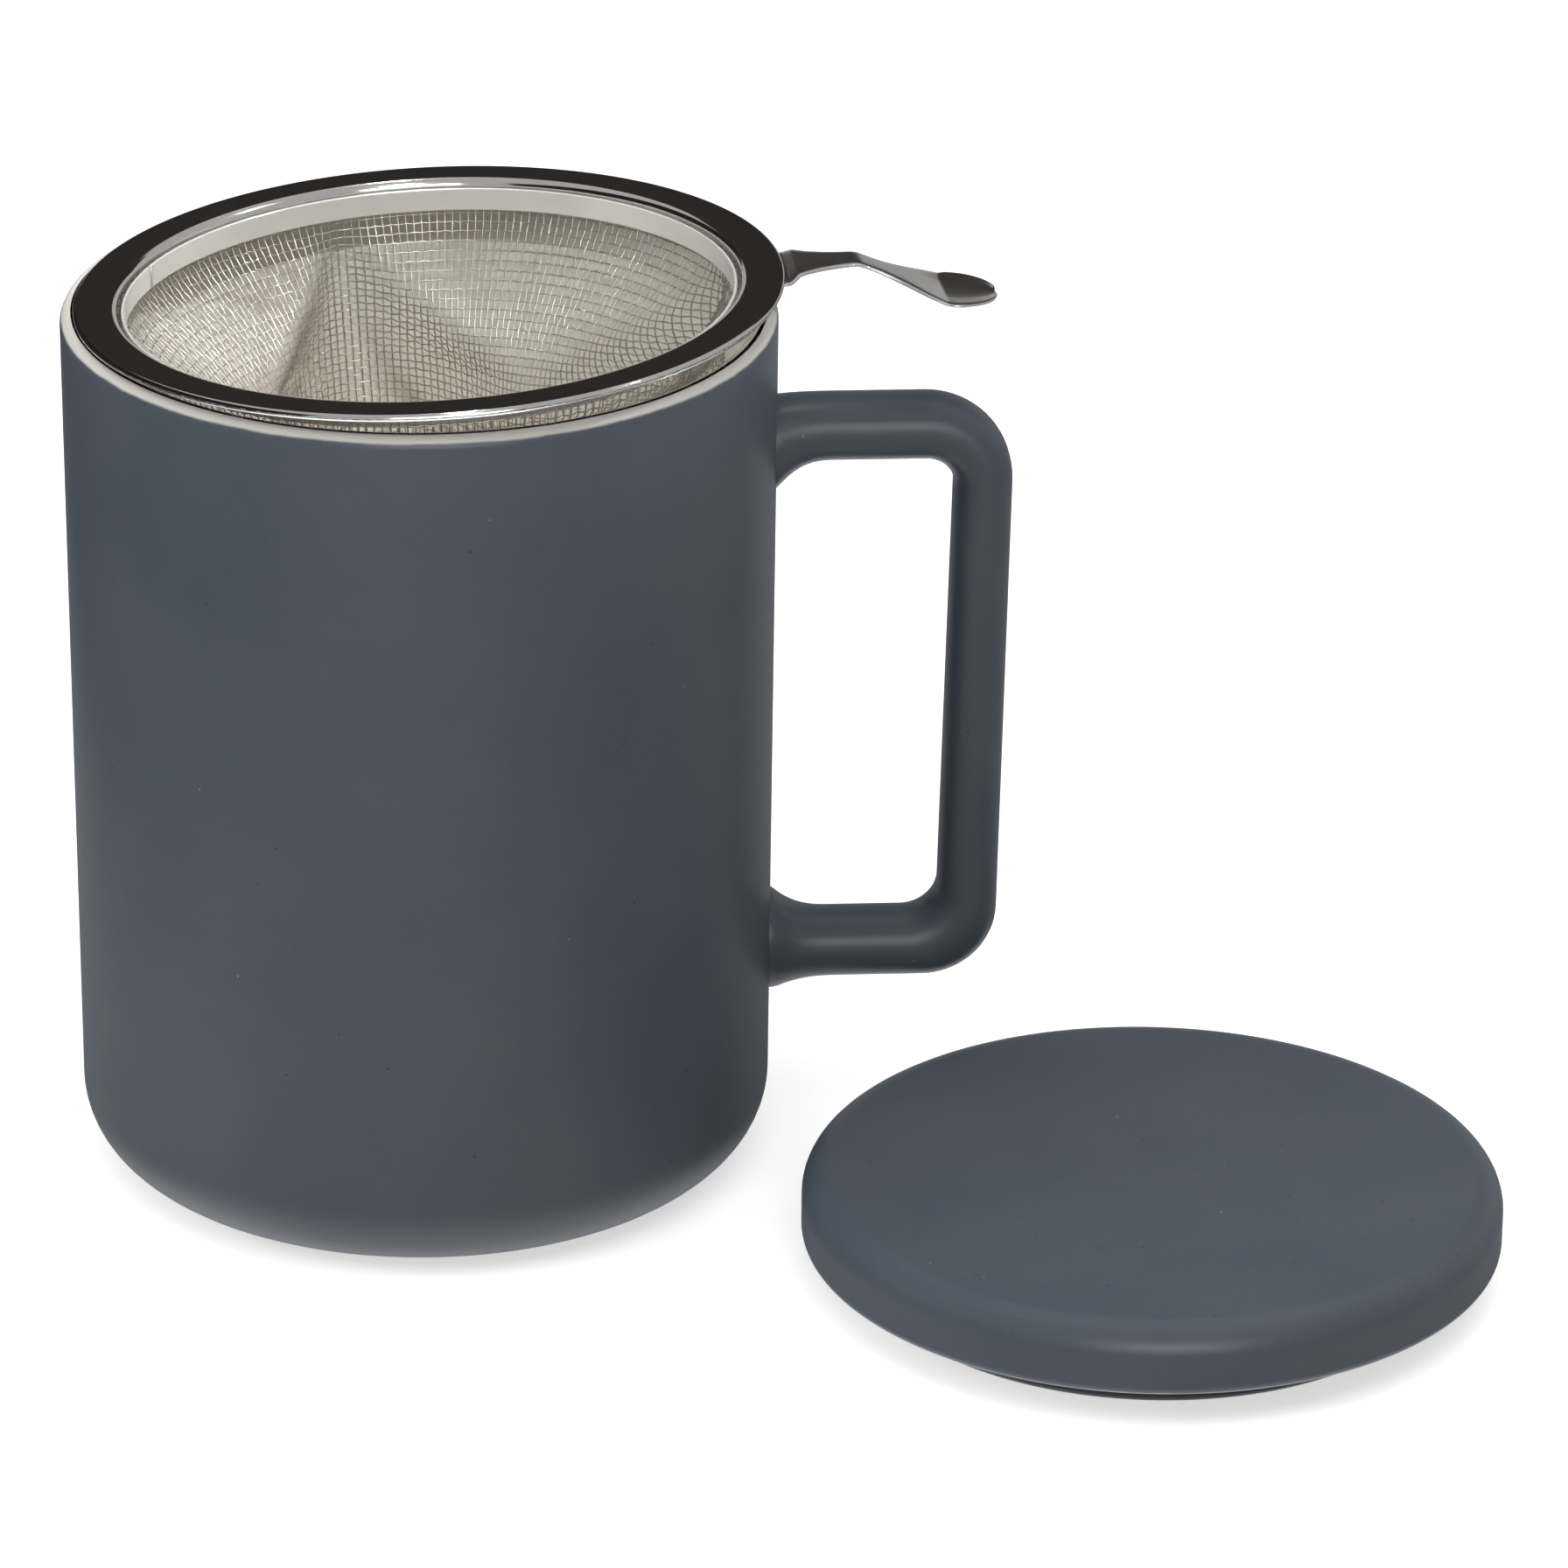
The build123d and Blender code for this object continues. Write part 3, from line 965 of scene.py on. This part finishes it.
def addSheet(name, width, height, material):
    x, y = width / 2, height / 2
    mesh = bpy.data.meshes.new(name)
    mesh.from_pydata([(-x, -y, 0), (x, -y, 0), (x, y, 0), (-x, y, 0)], [], [(0, 1, 2, 3)])
    mesh.materials.append(material)
    sheet = link(name, mesh)
    return sheet


def addCards():
    # Dark studio cards beside the picture, which only reflections meet.
    black = Nodes("cardBlack")
    black.shader.inputs["Base Color"].default_value = studio["card"]
    black.shader.inputs["Roughness"].default_value = 1.0
    black.shader.inputs["Specular IOR Level"].default_value = 0.0
    for name, centre, (tilt, turn), width, height in studio["cards"]:
        card = addSheet(name, width, height, black.material)
        card.location = centre
        card.rotation_euler = (math.radians(tilt), 0, math.radians(turn))
        for ray in ("camera", "diffuse", "shadow", "transmission"):
            setattr(card, "visible_" + ray, False)


def addFloor():
    nodes = Nodes("paleFloor")
    nodes.shader.inputs["Roughness"].default_value = studio["floorRoughness"]
    nodes.shader.inputs["Specular IOR Level"].default_value = studio["floorShine"]
    path = nodes.add("ShaderNodeLightPath")
    # Reflections see the floor brighter straight below than far off.
    parts = nodes.add("ShaderNodeSeparateXYZ")
    nodes.link(nodes.add("ShaderNodeNewGeometry").outputs["Incoming"], parts.inputs[0])
    below = nodes.spread(parts.outputs["Z"], *studio["floorBelow"], 0, 1, True)
    mirrored = path.outputs["Is Glossy Ray"]
    far = nodes.math("MULTIPLY", mirrored, nodes.math("SUBTRACT", 1.0, below))
    nodes.link(nodes.mix(far, studio["floor"], studio["floorFar"]), nodes.shader.inputs["Base Color"])
    near = nodes.math("MULTIPLY", nodes.math("MULTIPLY", mirrored, below), studio["floorGloss"])
    seen = nodes.math("MAXIMUM", path.outputs["Is Camera Ray"], path.outputs["Is Transmission Ray"])
    seen = nodes.math("MAXIMUM", seen, near)
    nodes.shader.inputs["Emission Color"].default_value = (1, 1, 1, 1)
    nodes.link(nodes.math("MULTIPLY", seen, studio["floorGlow"]), nodes.shader.inputs["Emission Strength"])
    addSheet("floor", studio["floorSize"], studio["floorSize"], nodes.material)


def addWorld():
    # The camera sees plain white, reflections a dim room, and all else a soft light from all round.
    world = bpy.data.worlds.new("studio")
    world.use_nodes = True
    bpy.context.scene.world = world
    tree = world.node_tree
    tree.nodes.clear()
    add, join = tree.nodes.new, tree.links.new

    def glow(strength):
        node = add("ShaderNodeBackground")
        node.inputs["Color"].default_value = (1, 1, 1, 1)
        node.inputs["Strength"].default_value = strength
        return node.outputs[0]

    def choose(factor, first, second):
        node = add("ShaderNodeMixShader")
        for index, source in enumerate((factor, first, second)):
            join(source, node.inputs[index])
        return node.outputs[0]

    path, seen = add("ShaderNodeLightPath"), add("ShaderNodeMath")
    seen.operation = "MAXIMUM"
    join(path.outputs["Is Camera Ray"], seen.inputs[0])
    join(path.outputs["Is Transmission Ray"], seen.inputs[1])
    room = choose(path.outputs["Is Glossy Ray"], glow(studio["worldLight"]), glow(studio["roomGloss"]))
    shown = choose(seen.outputs[0], room, glow(1.0))
    join(shown, add("ShaderNodeOutputWorld").inputs["Surface"])


print("studio")
bpy.context.scene.view_settings.view_transform = "Standard"
addCamera()
addWorld()
addLamps()
addCards()
addFloor()

print("mug and handle")
makeMug()
makeHandle()

print("lid")
makeLid()

print("infuser")
makeFlange()
makeBand()
makeTab()
makeBasket()
